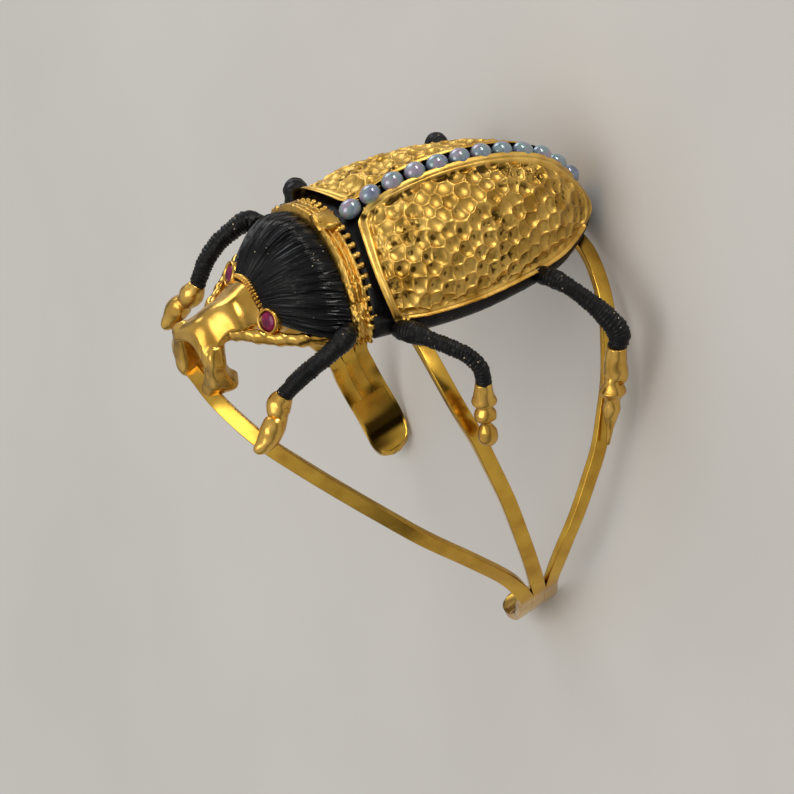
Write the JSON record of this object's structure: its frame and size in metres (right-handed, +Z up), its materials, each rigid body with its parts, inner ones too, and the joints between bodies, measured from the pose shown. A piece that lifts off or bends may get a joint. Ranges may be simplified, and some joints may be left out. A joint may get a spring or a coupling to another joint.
{
  "type": "scarab cuff bracelet",
  "caption": "Open cuff bracelet of metal bars that carries a beetle with gilt wing cases, a pearl seam, a black body and red stone eyes, laid on its side.",
  "frame": {"origin": "centre of the bounding box's bottom face, on the surface that the bracelet lies on", "axes": "+Z up along the wrist, towards the beetle's head; -Y out of the beetle's back; +X towards the beetle's right side, which mirrors the left"},
  "size_m": [0.0574, 0.0666, 0.0588],
  "materials": {
    "gold": "polished gilt",
    "black_plating": "black plated, satin",
    "pearl": "lustrous grey nacre",
    "ruby": "cut and polished"
  },
  "bodies": {
    "root": {"abdomen": "black_plating", "pronotum": "black_plating", "collar": "gold", "head": "gold", "cuff": "gold", "elytron_left": "gold", "elytron_right": "gold", "pearl_01": "pearl", "pearl_02": "pearl", "pearl_03": "pearl", "pearl_04": "pearl", "pearl_05": "pearl", "pearl_06": "pearl", "pearl_07": "pearl", "pearl_08": "pearl", "pearl_09": "pearl", "pearl_10": "pearl", "pearl_11": "pearl", "pearl_12": "pearl", "ruby_left": "ruby", "ruby_right": "ruby", "leg_front_left": "black_plating", "leg_front_right": "black_plating", "leg_middle_left": "black_plating", "leg_middle_right": "black_plating", "leg_hind_left": "black_plating", "leg_hind_right": "black_plating", "foot_front_left": "gold", "foot_front_right": "gold", "foot_middle_left": "gold", "foot_middle_right": "gold", "foot_hind_left": "gold", "foot_hind_right": "gold"}
  },
  "joints": []
}
